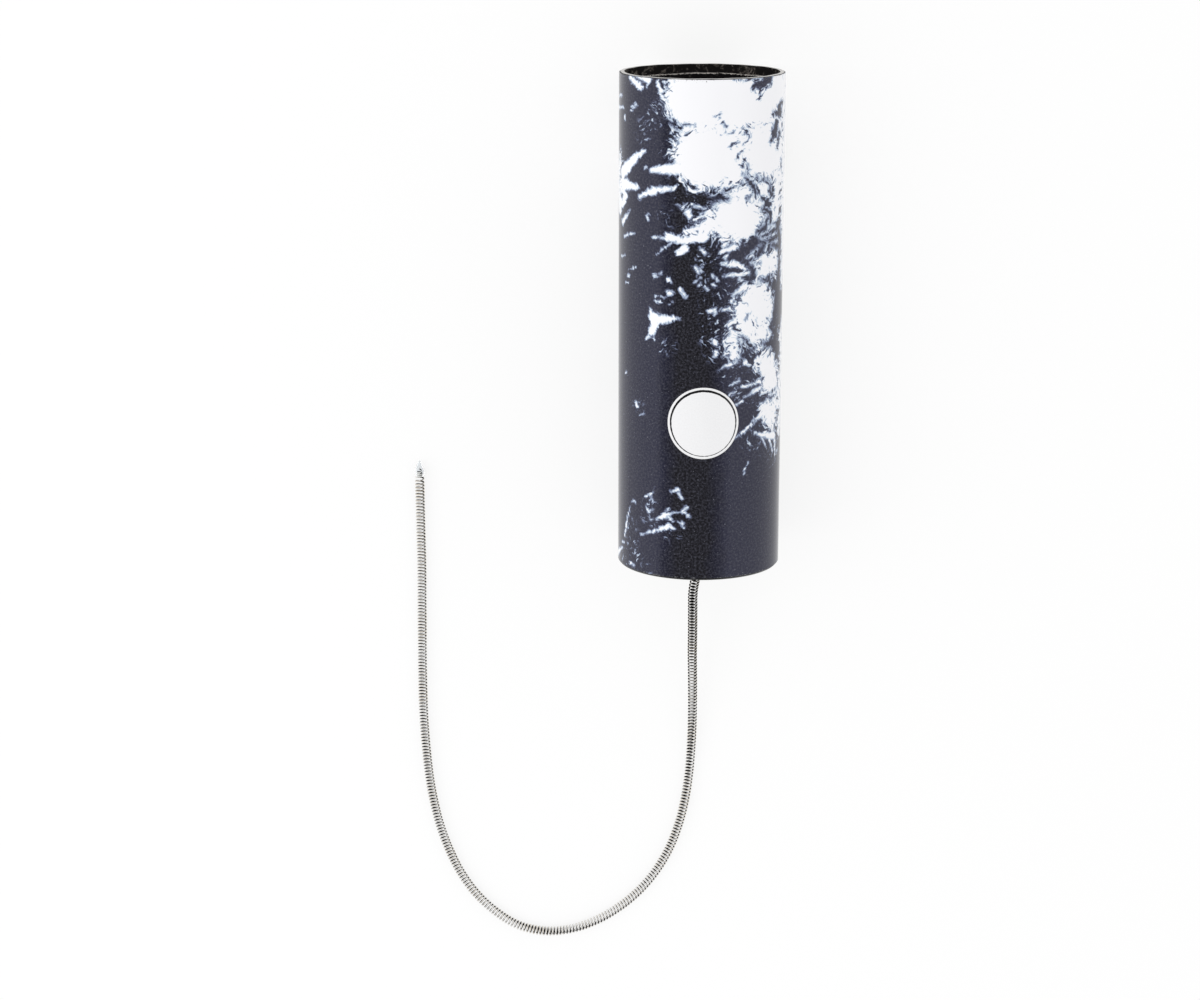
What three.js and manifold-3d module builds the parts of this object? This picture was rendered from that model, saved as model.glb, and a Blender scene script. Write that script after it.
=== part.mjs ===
// Thunder drum: a board tube with a film head, and a long spring that hangs from the head's middle.
// The drum lies on its side with the spring laid out beside it. +Y points out of the open end
// and +Z up, and the origin is on the floor under the tube's mid-length. Sizes are in millimetres.
import * as THREE from "three";
import { mergeVertices } from "three/addons/utils/BufferGeometryUtils.js";
import Module from "manifold-3d";

// Tube, lining and printed wrap
const drumLength = 203;
const boreDiameter = 62;
const boardWall = 2;
const rimChamfer = 0.3;
const linerThickness = 0.3;
const linerSetback = 3.5;
const wrapThickness = 0.3;
const wrapRimSetback = 0.3;
const wrapHeadSetback = 1;
const lapFacets = 3;
const seamFacet = 57;
const facets = 64;
const glueLine = 0.1;

// Head and what stiffens its middle
const filmThickness = 0.25;
const skirtLength = 8;
const headCornerRadius = 1;
const patchDiameter = 20;
const patchThickness = 0.4;
const washerDiameter = 12;
const washerThickness = 0.8;
const discFacets = 40;

// Split pin: its eye stands outside the head, and its legs open over the washer inside
const pinWire = 0.9;
const eyeRadius = 2;
const legGap = 0.1;
const legBendRadius = 1;
const legInset = 1;
const pinClearance = 0.45;
const seatGap = 0.3;

// Spring and the clear drop on its free end
const springDiameter = 4.2;
const springWire = 1;
const curls = 99;
const stepsPerCurl = 8;
const wireSides = 5;
const hookLeg = 2.3;
const coilRunIn = 2;
const coilRunOut = 3.2;
const tailInCap = 2.4;
const capDiameter = 4.7;
const capLength = 6.8;
const capBoreDepth = 3;
const floorGap = 0.05;

// Round label on the side of the tube that faces up
const labelDiameter = 29.3;
const labelThickness = 0.2;
const labelFromHead = 65.6;
const labelOffset = 0.5;

// The spring's route from its hinge: across, out from the hinge, and its share of the hinge's height
const springRoute = [
  [0, 0, 1],
  [-1.1, 4.5, 0.923],
  [-1.8, 10.5, 0.821],
  [-1.7, 20.3, 0.658],
  [-1.5, 31.2, 0.494],
  [-1.4, 42.2, 0.347],
  [-1.1, 53.6, 0.226],
  [-0.9, 65.2, 0.13],
  [-0.9, 77.2, 0.059],
  [-1.3, 89.2, 0.021],
  [-2.2, 101.2, 0.004],
  [-3.8, 112.6, 0],
  [-6.5, 124.2, 0],
  [-10.6, 135.4, 0],
  [-16.4, 145.9, 0],
  [-23.8, 155.2, 0],
  [-32.7, 163.1, 0],
  [-42.9, 169.4, 0],
  [-54.1, 173.4, 0],
  [-66, 174.3, 0],
  [-77.5, 171.4, 0],
  [-87.6, 164.8, 0],
  [-96, 156.3, 0],
  [-102.6, 146.4, 0],
  [-107.6, 135.5, 0],
  [-111.4, 124.2, 0],
  [-114, 112.6, 0],
  [-115.8, 100.7, 0],
  [-117.6, 77.2, 0],
  [-118, 53.2, 0],
  [-117.8, 29.2, 0],
  [-117.6, 5.2, 0],
  [-117.8, -16.8, 0],
];
const routeEnd = [-117.9, -33.7];

// Radii, across the flats where they are round the tube, from the middle outwards
const shankX = (pinWire + legGap) / 2;
const anchorHole = shankX + pinWire / 2 + pinClearance;
const boreRadius = boreDiameter / 2;
const boardRadius = boreRadius + boardWall;
const wrapInside = boardRadius + glueLine;
const wrapOutside = wrapInside + wrapThickness;
const axisHeight = wrapOutside;

// Places along the drum's axis, from the middle of its length
const rimY = drumLength / 2;
const headY = -drumLength / 2;
const boardEndY = headY + filmThickness + glueLine;
const patchFaceY = headY - glueLine - patchThickness;
const washerInsideY = headY + filmThickness + glueLine + washerThickness;
const eyeY = patchFaceY - seatGap - pinWire / 2 - eyeRadius;
const hingeY = eyeY - eyeRadius;

const wasm = await Module();
wasm.setup();

// A closed ring or disc turned round the Y axis. Its radii are across the flats, and a flat faces down.
function turned(profile, sides) {
  const acrossCorners = 1 / Math.cos(Math.PI / sides);
  const points = profile.map(([radius, y]) => new THREE.Vector2(radius * acrossCorners, y));
  if (profile[0][0] > 0) points.push(points[0].clone());
  return new THREE.LatheGeometry(points, sides, Math.PI / sides);
}

// Points on an arc in a profile, from one angle to another in degrees
function arc(centreX, centreY, radius, from, to, steps = 4) {
  return Array.from({ length: steps + 1 }, (_, i) => {
    const angle = THREE.MathUtils.degToRad(from + ((to - from) * i) / steps);
    return [centreX + radius * Math.cos(angle), centreY + radius * Math.sin(angle)];
  });
}

// A tube of round section along a curve
function swept(curve, diameter, sides, steps) {
  const section = new THREE.Shape(
    Array.from({ length: sides }, (_, i) => {
      const angle = (2 * Math.PI * i) / sides;
      return new THREE.Vector2(Math.cos(angle), Math.sin(angle)).multiplyScalar(diameter / 2);
    }),
  );
  return new THREE.ExtrudeGeometry(section, { steps, extrudePath: curve, curveSegments: 1 });
}

function solidOf(geometry) {
  const bare = geometry.clone();
  bare.deleteAttribute("normal");
  bare.deleteAttribute("uv");
  const merged = mergeVertices(bare, 1e-4);
  const vertProperties = merged.attributes.position.array;
  const triVerts = new Uint32Array(merged.index.array);
  return new wasm.Manifold(new wasm.Mesh({ numProp: 3, vertProperties, triVerts }));
}

function geometryOf(solid) {
  const { vertProperties, triVerts } = solid.getMesh();
  const geometry = new THREE.BufferGeometry();
  geometry.setAttribute("position", new THREE.BufferAttribute(vertProperties, 3));
  geometry.setIndex(new THREE.BufferAttribute(triVerts, 1));
  geometry.computeVertexNormals();
  return geometry;
}

function piece(parent, name, geometry, color, roughness, metalness = 0) {
  const mesh = new THREE.Mesh(geometry, new THREE.MeshStandardMaterial({ color, roughness, metalness }));
  mesh.name = name;
  parent.add(mesh);
  return mesh;
}

// Board tube: its head end is turned down for the film's skirt and rounded where the film bends over it
function tubeBody() {
  const seatRadius = boardRadius - filmThickness - glueLine;
  const seatEndY = headY + skirtLength + glueLine;
  const corner = headCornerRadius - filmThickness - glueLine;
  return turned(
    [
      [boreRadius, boardEndY],
      ...arc(seatRadius - corner, boardEndY + corner, corner, -90, 0),
      [seatRadius, seatEndY],
      [boardRadius, seatEndY],
      [boardRadius, rimY - rimChamfer],
      [boardRadius - rimChamfer, rimY],
      [boreRadius + rimChamfer, rimY],
      [boreRadius, rimY - rimChamfer],
    ],
    facets,
  );
}

// Black lining sheet, glued into the bore
function innerLiner() {
  const outside = boreRadius - glueLine;
  const inside = outside - linerThickness;
  return turned(
    [
      [inside, boardEndY],
      [outside, boardEndY],
      [outside, rimY - linerSetback],
      [inside, rimY - linerSetback],
    ],
    facets,
  );
}

// Printed sheet, rolled once round the tube, whose end laps over its start
function printedWrap() {
  const step = (2 * Math.PI) / facets;
  const acrossCorners = 1 / Math.cos(step / 2);
  const lapLift = wrapThickness + glueLine;
  const corners = Array.from({ length: facets + lapFacets + 1 }, (_, i) => i);
  const edge = (radius) =>
    corners.map((i) => {
      const angle = (seamFacet + i + 0.5) * step;
      const lifted = (radius + (i < facets ? 0 : lapLift)) * acrossCorners;
      return new THREE.Vector2(Math.cos(angle), Math.sin(angle)).multiplyScalar(lifted);
    });
  const outline = new THREE.Shape([...edge(wrapInside), ...edge(wrapOutside).reverse()]);
  const depth = drumLength - wrapRimSetback - wrapHeadSetback;
  return new THREE.ExtrudeGeometry(outline, { depth, bevelEnabled: false });
}

// Film head: a flat disc with a bent edge and a skirt over the turned end of the tube
function drumHead() {
  const outside = boardRadius;
  const inside = outside - filmThickness;
  const innerCorner = headCornerRadius - filmThickness;
  const cornerX = outside - headCornerRadius;
  const cornerY = headY + headCornerRadius;
  return turned(
    [
      [anchorHole, headY],
      ...arc(cornerX, cornerY, headCornerRadius, -90, 0),
      [outside, headY + skirtLength],
      [inside, headY + skirtLength],
      ...arc(cornerX, cornerY, innerCorner, 0, -90),
      [anchorHole, headY + filmThickness],
    ],
    facets,
  );
}

// Stiff round patch outside the film, with a thin feathered edge
function headPatch() {
  const outside = patchDiameter / 2;
  return turned(
    [
      [anchorHole, patchFaceY],
      [outside - patchThickness, patchFaceY],
      [outside, patchFaceY + patchThickness / 2],
      [outside, patchFaceY + patchThickness],
      [anchorHole, patchFaceY + patchThickness],
    ],
    discFacets,
  );
}

// Washer inside, pulled against the film by the pin's legs
function anchorWasher() {
  const outside = washerDiameter / 2;
  const bevel = washerThickness / 4;
  return turned(
    [
      [anchorHole, washerInsideY - washerThickness],
      [outside, washerInsideY - washerThickness],
      [outside, washerInsideY - bevel],
      [outside - bevel, washerInsideY],
      [anchorHole, washerInsideY],
    ],
    discFacets,
  );
}

// Split pin, one wire: leg, shank, eye, shank, leg. It lies in the plane of the drum's axis and X.
function anchorPin() {
  const legY = washerInsideY + seatGap + pinWire / 2;
  const legTip = [washerDiameter / 2 - legInset, legY];
  const bend = arc(shankX + legBendRadius, legY - legBendRadius, legBendRadius, 90, 180);
  const neckY = eyeY + eyeRadius + pinWire / 2;
  const shank = [[shankX, (neckY + legY - legBendRadius) / 2], [shankX, neckY]];
  const half = [legTip, ...bend, ...shank, ...arc(0, eyeY, eyeRadius, 50, -90, 9)];
  const mirrored = half.slice(0, -1).map(([x, y]) => [-x, y]);
  const path = [...half, ...mirrored.reverse()].map(([x, y]) => new THREE.Vector3(x, y, 0));
  return swept(new THREE.CatmullRomCurve3(path, false, "centripetal"), pinWire, 8, 84);
}

// Label, cut from a ring just outside the wrap by an upright oval prism, and round when unrolled
function roundLabel() {
  const inside = wrapOutside + glueLine;
  const outside = inside + labelThickness;
  const ring = turned(
    [
      [inside, -labelDiameter],
      [outside, -labelDiameter],
      [outside, labelDiameter],
      [inside, labelDiameter],
    ],
    facets,
  );
  const across = outside * Math.sin(labelDiameter / 2 / outside);
  const oval = new THREE.CylinderGeometry(1, 1, 2 * outside, 72);
  oval.rotateX(Math.PI / 2);
  oval.scale(across, labelDiameter / 2, 1);
  oval.translate(labelOffset, 0, outside);
  return geometryOf(solidOf(ring).intersect(solidOf(oval)));
}

// Frames at even steps along the spring's route, which turn with it and don't twist about it
function routeFrames(steps) {
  const layHeight = springDiameter / 2 + floorGap;
  const points = springRoute.map(
    ([x, out, share]) => new THREE.Vector3(x, hingeY - out, layHeight + share * (axisHeight - layHeight)),
  );
  points.push(new THREE.Vector3(routeEnd[0], hingeY - routeEnd[1], capDiameter / 2 + floorGap));
  const curve = new THREE.CatmullRomCurve3(points, false, "centripetal");
  curve.arcLengthDivisions = steps;
  const frames = [];
  for (let i = 0; i <= steps; i += 1) {
    const tangent = curve.getTangentAt(i / steps);
    const normal = i ? frames[i - 1].normal.clone() : new THREE.Vector3(0, 0, 1);
    normal.addScaledVector(tangent, -normal.dot(tangent)).normalize();
    const side = new THREE.Vector3().crossVectors(tangent, normal);
    frames.push({ point: curve.getPointAt(i / steps), tangent, normal, side });
  }
  return { frames, length: curve.getLength() };
}

const routeSteps = 4000;
const { frames: routeFrame, length: routeLength } = routeFrames(routeSteps);

// A point at a distance along the route, off it by a radius at an angle. The route runs on straight
// past its ends.
function besideRoute(along, radius, angle) {
  const share = THREE.MathUtils.clamp(along / routeLength, 0, 1);
  const nearest = Math.round(share * routeSteps);
  const frame = routeFrame[nearest];
  return frame.point
    .clone()
    .addScaledVector(frame.tangent, along - (nearest / routeSteps) * routeLength)
    .addScaledVector(frame.normal, radius * Math.cos(angle))
    .addScaledVector(frame.side, radius * Math.sin(angle));
}

// The middle of the spring's wire: hook round the pin's eye, curls, and a tail into the cap
function wirePath() {
  const coilRadius = (springDiameter - springWire) / 2;
  const hookCentre = coilRadius - (springWire + pinWire) / 2 - seatGap;
  const coilStart = hookCentre + springWire;
  const coilEnd = routeLength - coilRunOut;
  const pitch = (coilEnd - coilStart - coilRunIn) / curls;
  const turnRate = (2 * Math.PI) / pitch;
  const path = [hookLeg, springWire].map((out) => besideRoute(hookCentre + out, coilRadius, Math.PI));
  for (let i = 0; i <= stepsPerCurl; i += 1) {
    const angle = -Math.PI / 2 - (Math.PI * i) / stepsPerCurl;
    const lift = coilRadius * Math.sin(angle);
    path.push(besideRoute(hookCentre + coilRadius * Math.cos(angle), lift, 0));
  }
  const runInSteps = stepsPerCurl / 2;
  for (let i = 0; i < runInSteps; i += 1) {
    const along = (coilRunIn * i) / runInSteps;
    path.push(besideRoute(coilStart + along, coilRadius, (turnRate * along * along) / (2 * coilRunIn)));
  }
  const angleAtStart = (turnRate * coilRunIn) / 2;
  for (let i = 0; i < curls * stepsPerCurl; i += 1) {
    const along = (pitch * i) / stepsPerCurl;
    path.push(besideRoute(coilStart + coilRunIn + along, coilRadius, angleAtStart + turnRate * along));
  }
  const angleAtEnd = angleAtStart + 2 * Math.PI * curls;
  for (let i = 0; i <= stepsPerCurl; i += 1) {
    const share = i / stepsPerCurl;
    const angle = angleAtEnd + turnRate * coilRunOut * (share - (share * share) / 2);
    const radius = (coilRadius * (1 + Math.cos(Math.PI * share))) / 2;
    path.push(besideRoute(coilEnd + coilRunOut * share, radius, angle));
  }
  path.push(besideRoute(routeLength + springWire, 0, 0), besideRoute(routeLength + tailInCap, 0, 0));
  return path;
}

// The least gap between stretches of the wire that are more than half a curl apart along it
function leastGap(path) {
  const apart = Math.ceil(stepsPerCurl * 0.6);
  let least = Infinity;
  for (let i = 0; i < path.length; i += 1) {
    for (let j = i + apart; j < path.length; j += 1) least = Math.min(least, path[i].distanceTo(path[j]));
  }
  return least - springWire;
}

// One unbroken tube of a few sides along a path of points
function wireTube(path, diameter, sides) {
  const positions = [];
  const faces = [];
  const normal = new THREE.Vector3(1, 0, 0);
  path.forEach((point, i) => {
    const before = path[Math.max(i - 1, 0)];
    const after = path[Math.min(i + 1, path.length - 1)];
    const tangent = after.clone().sub(before).normalize();
    normal.addScaledVector(tangent, -normal.dot(tangent)).normalize();
    const side = new THREE.Vector3().crossVectors(tangent, normal);
    for (let k = 0; k < sides; k += 1) {
      const angle = (2 * Math.PI * k) / sides;
      const corner = point.clone();
      corner.addScaledVector(normal, (diameter / 2) * Math.cos(angle));
      corner.addScaledVector(side, (diameter / 2) * Math.sin(angle));
      positions.push(...corner);
    }
  });
  const last = (path.length - 1) * sides;
  for (let i = 0; i < last; i += sides) {
    for (let k = 0; k < sides; k += 1) {
      const next = (k + 1) % sides;
      faces.push(i + k, i + next, i + sides + next, i + k, i + sides + next, i + sides + k);
    }
  }
  for (let k = 1; k < sides - 1; k += 1) faces.push(0, k + 1, k, last, last + k, last + k + 1);
  const geometry = new THREE.BufferGeometry();
  geometry.setAttribute("position", new THREE.Float32BufferAttribute(positions, 3));
  geometry.setIndex(faces);
  geometry.computeVertexNormals();
  return geometry;
}

// Clear drop, widest near its middle, with a blind hole for the wire's tail
function tipCap() {
  const wide = capDiameter / 2;
  const hole = springWire / 2 + seatGap;
  return turned(
    [
      [0, capBoreDepth],
      [hole, capBoreDepth],
      [hole, 0],
      [wide * 0.72, 0],
      [wide * 0.94, capLength * 0.2],
      [wide, capLength * 0.42],
      [wide * 0.9, capLength * 0.62],
      [wide * 0.66, capLength * 0.8],
      [wide * 0.32, capLength * 0.95],
      [0, capLength],
    ],
    16,
  );
}

const thunderDrum = new THREE.Group();

const shell = new THREE.Group();
shell.position.z = axisHeight;
thunderDrum.add(shell);
piece(shell, "tube_body", tubeBody(), 0xdedad4, 0.9);
piece(shell, "inner_liner", innerLiner(), 0x16151a, 0.95);
const wrap = piece(shell, "printed_wrap", printedWrap(), 0x3a3b48, 0.25);
wrap.position.y = rimY - wrapRimSetback;
wrap.rotation.x = Math.PI / 2;
piece(shell, "drum_head", drumHead(), 0x0e0e10, 0.4);
piece(shell, "head_patch", headPatch(), 0x1b1b1e, 0.7);
piece(shell, "anchor_washer", anchorWasher(), 0xb9bbbe, 0.35, 1);
piece(shell, "anchor_pin", anchorPin(), 0xaeb0b3, 0.3, 1);
const label = piece(shell, "round_label", roundLabel(), 0xf4f4f2, 0.35);
label.position.y = headY + labelFromHead;

const wire = wirePath();
console.log(`least gap of the spring's wire to itself: ${leastGap(wire).toFixed(2)} mm`);
console.log(`length of the spring along its route: ${routeLength.toFixed(1)} mm`);
piece(thunderDrum, "long_spring", wireTube(wire, springWire, wireSides), 0xa9a8a4, 0.3, 1);
const cap = piece(thunderDrum, "tip_cap", tipCap(), 0xdfe4e8, 0.15);
const end = routeFrame[routeSteps];
cap.position.copy(end.point);
cap.quaternion.setFromUnitVectors(new THREE.Vector3(0, 1, 0), end.tangent);

export default thunderDrum;
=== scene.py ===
import math
from functools import partial

import bpy
import numpy as np
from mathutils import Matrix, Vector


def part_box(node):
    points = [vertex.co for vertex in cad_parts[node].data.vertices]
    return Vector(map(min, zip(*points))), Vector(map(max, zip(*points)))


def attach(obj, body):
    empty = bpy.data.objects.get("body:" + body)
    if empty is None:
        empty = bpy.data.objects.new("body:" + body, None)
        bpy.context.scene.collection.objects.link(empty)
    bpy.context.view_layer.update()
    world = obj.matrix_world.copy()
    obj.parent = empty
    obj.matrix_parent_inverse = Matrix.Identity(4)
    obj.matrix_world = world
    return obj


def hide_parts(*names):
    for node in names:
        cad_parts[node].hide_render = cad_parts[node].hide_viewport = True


# Thunder drum: a lapped paper print round a board tube, a film head and a long fine spring.
# Lengths in the dictionaries are millimetres, and everything is built in metres.

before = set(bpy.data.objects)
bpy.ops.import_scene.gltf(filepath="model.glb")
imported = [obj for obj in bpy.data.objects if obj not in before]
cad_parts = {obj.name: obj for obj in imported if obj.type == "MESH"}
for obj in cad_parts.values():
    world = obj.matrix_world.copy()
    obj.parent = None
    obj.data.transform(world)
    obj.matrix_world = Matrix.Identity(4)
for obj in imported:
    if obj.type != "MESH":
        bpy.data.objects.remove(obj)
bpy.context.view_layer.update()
millimetre = 0.001

# The drum's own sizes, measured on the frame so that every fine piece sits where its solid is
tubeLow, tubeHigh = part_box("tube_body")
wrapLow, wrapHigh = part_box("printed_wrap")
headLow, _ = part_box("drum_head")
patchLow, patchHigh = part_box("head_patch")
washerLow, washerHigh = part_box("anchor_washer")
pinLow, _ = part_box("anchor_pin")
axisHeight = (tubeLow.z + tubeHigh.z) / 2
boardRadius = (tubeHigh.x - tubeLow.x) / 2
wrapRadius = axisHeight - wrapLow.z
rimY = tubeHigh.y
headY = headLow.y


# sRGB hex to linear: below 0.04045 a straight line, above it a power of 2.4
def linearColour(hexCode):
    channels = np.array([int(hexCode[i:i + 2], 16) for i in (1, 3, 5)]) / 255
    linear = np.where(channels <= 0.04045, channels / 12.92, ((channels + 0.055) / 1.055) ** 2.4)
    return (*[float(c) for c in linear], 1.0)


# Gives a node's inputs a number, a hex colour or a link each: a dictionary by their names, and a list in the
# order of the inputs that the node's settings leave in use. A node stands for its first output in use.
def setInputs(node, values):
    if isinstance(values, dict):
        pairs = [(node.inputs[name], value) for name, value in values.items()]
    else:
        pairs = zip([socket for socket in node.inputs if socket.enabled], values)
    for socket, value in pairs:
        if isinstance(value, bpy.types.Node):
            value = next(output for output in value.outputs if output.enabled)
        if isinstance(value, bpy.types.NodeSocket):
            node.id_data.links.new(value, socket)
        else:
            socket.default_value = linearColour(value) if isinstance(value, str) else value


# Adds a node with its settings, a colour ramp's stops, each a place and a hex colour, and its inputs
def addNode(tree, kind, inputs=(), stops=(), **settings):
    node = tree.nodes.new("ShaderNode" + kind)
    for name, value in settings.items():
        setattr(node, name, value)
    for k, (place, colour) in enumerate(stops):
        ramp = node.color_ramp.elements
        stop = ramp[k] if k < len(ramp) else ramp.new(1.0)
        stop.position = place
        stop.color = linearColour(colour)
    setInputs(node, inputs)
    return node


# A material, the function that adds nodes to it, and its last shader node, whose inputs are set at the end
def newMaterial(name, lastShader="BsdfPrincipled"):
    material = bpy.data.materials.new(name)
    material.use_nodes = True
    material.node_tree.nodes.clear()
    add = partial(addNode, material.node_tree)
    surface = add(lastShader)
    add("OutputMaterial", [surface])
    return material, add, surface


# Noise of a size in millimetres with its other inputs, and the colours that it clouds into each other
def cloudedColour(add, place, size, inputs, stops):
    noise = add("TexNoise", {"Vector": place, "Scale": 1 / (millimetre * size), **inputs})
    return noise, add("ValToRGB", [noise], stops=stops)


# Quads between neighbouring points of a rows by columns grid, round again where it closes
def gridFaces(rows, columns, closeRows, closeColumns):
    down, across = np.arange(rows - (not closeRows)), np.arange(columns - (not closeColumns))
    i, j = np.meshgrid(down, across, indexing="ij")
    nextI, nextJ = (i + 1) % rows, (j + 1) % columns
    corners = [i * columns + j, nextI * columns + j, nextI * columns + nextJ, i * columns + nextJ]
    return np.stack(corners, -1).reshape(-1, 4)


# A smooth mesh object from points and quads, with end caps. sheet gives each point its place in a UV map.
def meshPiece(name, points, faces, caps=(), sheet=None, sharpAngle=35):
    mesh = bpy.data.meshes.new(name)
    mesh.from_pydata(points.reshape(-1, 3), [], [*faces.tolist(), *[list(cap) for cap in caps]])
    if sheet is not None:
        layer = mesh.uv_layers.new(name="sheet")
        corners = np.zeros(len(mesh.loops), np.int32)
        mesh.loops.foreach_get("vertex_index", corners)
        layer.data.foreach_set("uv", sheet.reshape(-1, 2)[corners].astype(np.float32).ravel())
    mesh.polygons.foreach_set("use_smooth", np.ones(len(mesh.polygons), bool))
    mesh.set_sharp_from_angle(angle=math.radians(sharpAngle))
    mesh.update()
    piece = bpy.data.objects.new(name, mesh)
    bpy.context.scene.collection.objects.link(piece)
    return piece


# Gives a piece its material and the body it rides on, and hides the solids it stands for
def finishPiece(piece, material, body, slotName, *nodes):
    piece.data.materials.append(material)
    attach(piece, body)
    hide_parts(*nodes)


# The first row of a grid as one face, and its last row as another that looks the other way
def endCaps(rows, columns):
    return [range(columns), range(rows * columns - 1, (rows - 1) * columns - 1, -1)]


# Even steps round a full circle
def roundAngles(steps):
    return np.linspace(0, 2 * np.pi, steps, endpoint=False)


# Points round the drum's axis: x = r sin a, y as it is, z = axis + r cos a
def axisPoints(radius, along, angle):
    return np.stack([radius * np.sin(angle), along + 0 * angle, axisHeight + radius * np.cos(angle)], -1)


# A closed profile of (radius, y) carried round the axis
def turnedPoints(profile, steps):
    return axisPoints(profile[None, :, 0], profile[None, :, 1], roundAngles(steps)[:, None])


def turnedPiece(name, profile, steps):
    return meshPiece(name, turnedPoints(profile, steps), gridFaces(steps, len(profile), True, True))


# Points of an arc in a profile, from one angle to another in degrees
def arcProfile(centre, radius, start, end, steps=8):
    angle = np.radians(np.linspace(start, end, steps + 1))
    return np.stack([centre[0] + radius * np.cos(angle), centre[1] + radius * np.sin(angle)], -1)


# Camera and light, as the photograph was taken: from above, a little towards the open end
studio = {
    "cameraAt": (-41, 210.5, 1177),
    "cameraTilt": 14.06,  # degrees back from straight down
    "lens": 85,
    "worldLevel": 0.88,
    "lampPower": 5.0,
    "lampSize": 1200,
    "lampAt": (-1100, -200, 1100),
    "lampTilt": -45,
    "floorSize": 7000,
    "floorDrop": 0.2,
    "shadowKept": 0.2,  # how much of the floor's shading the camera still sees under its white
    "cardHeight": 110,
    "cardLeft": (-113, -75),  # where the black card fades in, from nothing to full
    "cardRight": (56, 22),
    "cardAlong": (-140, 115),
    "frontCard": (-450, 60, 330),  # along, bottom and top of the card that stands before the head
    "frontCardAcross": (-320, 220),
    "white": "#ffffff",
    "cardColour": "#0a0a0a",
}

cameraData = bpy.data.cameras.new("camera")
cameraData.lens = studio["lens"]
cameraData.clip_end = 20
camera = bpy.data.objects.new("camera", cameraData)
camera.location = [millimetre * c for c in studio["cameraAt"]]
camera.rotation_euler = (-math.radians(studio["cameraTilt"]), 0, 0)
bpy.context.scene.collection.objects.link(camera)
bpy.context.scene.camera = camera
print("stage: camera set")


# Spring: fine wire coiled close, hooked through the pin's eye and laid out in a bow on the floor
spring = {
    "outside": 4.2,
    "wire": 0.68,
    "turns": 300,  # the real one has about 345, drawn a little coarser here so that its turns show
    "sag": 0.25,  # how much wider the first turns stand, pulled open by the weight that they carry
    "sagReach": 45,
    "stepsPerTurn": 16,
    "sides": 8,
    "hinge": 0.45,  # from the pin's near end
    "hookLeg": 2.6,
    "hookSlack": 0.55,  # from the pin's wire to the hook's wire
    "runIn": 2.0,
    "stretched": (2.6, 1.4),  # length and turns that are pulled open just before the drop
    "gripped": (1.6, 2.0),  # length and turns that the drop is cast round
    "grippedShare": 0.95,  # the last turns' radius against the others'
    "tail": 1.6,
    "floorGap": 0.05,
    "dropWide": 4.7,
    "steelColour": "#f0eeea",
    "warmColour": "#ddd5c8",
    # painted shade: the dark colour of the coil's inside faces, so that the gaps between turns read dark
    "paintedShadeColour": "#100e0d",
    "tarnish": 14,
    # painted shade reaches further round the turns near the hook, fading out over this stretch of wire
    "hookShade": 0.38,
    "hookShadeReach": (250, 800),  # along the wire
}

# The spring's route from its hinge, in millimetres: across, out from the hinge, share of the hinge's height
springRoute = np.array([
    [0, 0, 1], [-1.1, 4.5, 0.923], [-1.8, 10.5, 0.821], [-1.7, 20.3, 0.658], [-1.5, 31.2, 0.494],
    [-1.4, 42.2, 0.347], [-1.1, 53.6, 0.226], [-0.9, 65.2, 0.13], [-0.9, 77.2, 0.059], [-1.3, 89.2, 0.021],
    [-2.2, 101.2, 0.004], [-3.8, 112.6, 0], [-6.5, 124.2, 0], [-10.6, 135.4, 0], [-16.4, 145.9, 0],
    [-23.8, 155.2, 0], [-32.7, 163.1, 0], [-42.9, 169.4, 0], [-54.1, 173.4, 0], [-66, 174.3, 0],
    [-77.5, 171.4, 0], [-87.6, 164.8, 0], [-96, 156.3, 0], [-102.6, 146.4, 0], [-107.6, 135.5, 0],
    [-111.4, 124.2, 0], [-114, 112.6, 0], [-115.8, 100.7, 0], [-117.6, 77.2, 0], [-118, 53.2, 0],
    [-117.8, 29.2, 0], [-117.6, 5.2, 0], [-117.8, -16.8, 0], [-117.9, -33.7, 0],
])


# Centripetal Catmull-Rom: between two points a cubic, with end slopes from the square roots of the chords
def curveThrough(points, steps):
    ends = np.vstack([2 * points[0] - points[1], points, 2 * points[-1] - points[-2]])
    chord = np.sqrt(np.linalg.norm(np.diff(ends, axis=0), axis=1))[:, None]
    before, here, after = chord[:-2], chord[1:-1], chord[2:]
    p0, p1, p2, p3 = ends[:-3], ends[1:-2], ends[2:-1], ends[3:]
    slope1 = here * ((p1 - p0) / before - (p2 - p0) / (before + here) + (p2 - p1) / here)
    slope2 = here * ((p2 - p1) / here - (p3 - p1) / (here + after) + (p3 - p2) / after)
    u = np.linspace(0, 1, steps, endpoint=False)[None, :, None]
    p1, p2, slope1, slope2 = p1[:, None], p2[:, None], slope1[:, None], slope2[:, None]
    c2, c3 = 3 * (p2 - p1) - 2 * slope1 - slope2, 2 * (p1 - p2) + slope1 + slope2
    curve = p1 + slope1 * u + c2 * u ** 2 + c3 * u ** 3
    return np.vstack([curve.reshape(-1, 3), points[-1]])


def unit(vectors):
    return vectors / np.linalg.norm(vectors, axis=-1, keepdims=True)


# Length from the start of a curve to each of its points
def lengthAlong(curve):
    return np.concatenate([[0], np.cumsum(np.linalg.norm(np.diff(curve, axis=0), axis=1))])


# Points of a curve at distances along it, by straight lines between its close points
def alongCurve(curve, distance):
    length = lengthAlong(curve)
    return np.stack([np.interp(distance, length, curve[:, k]) for k in range(3)], -1)


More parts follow.
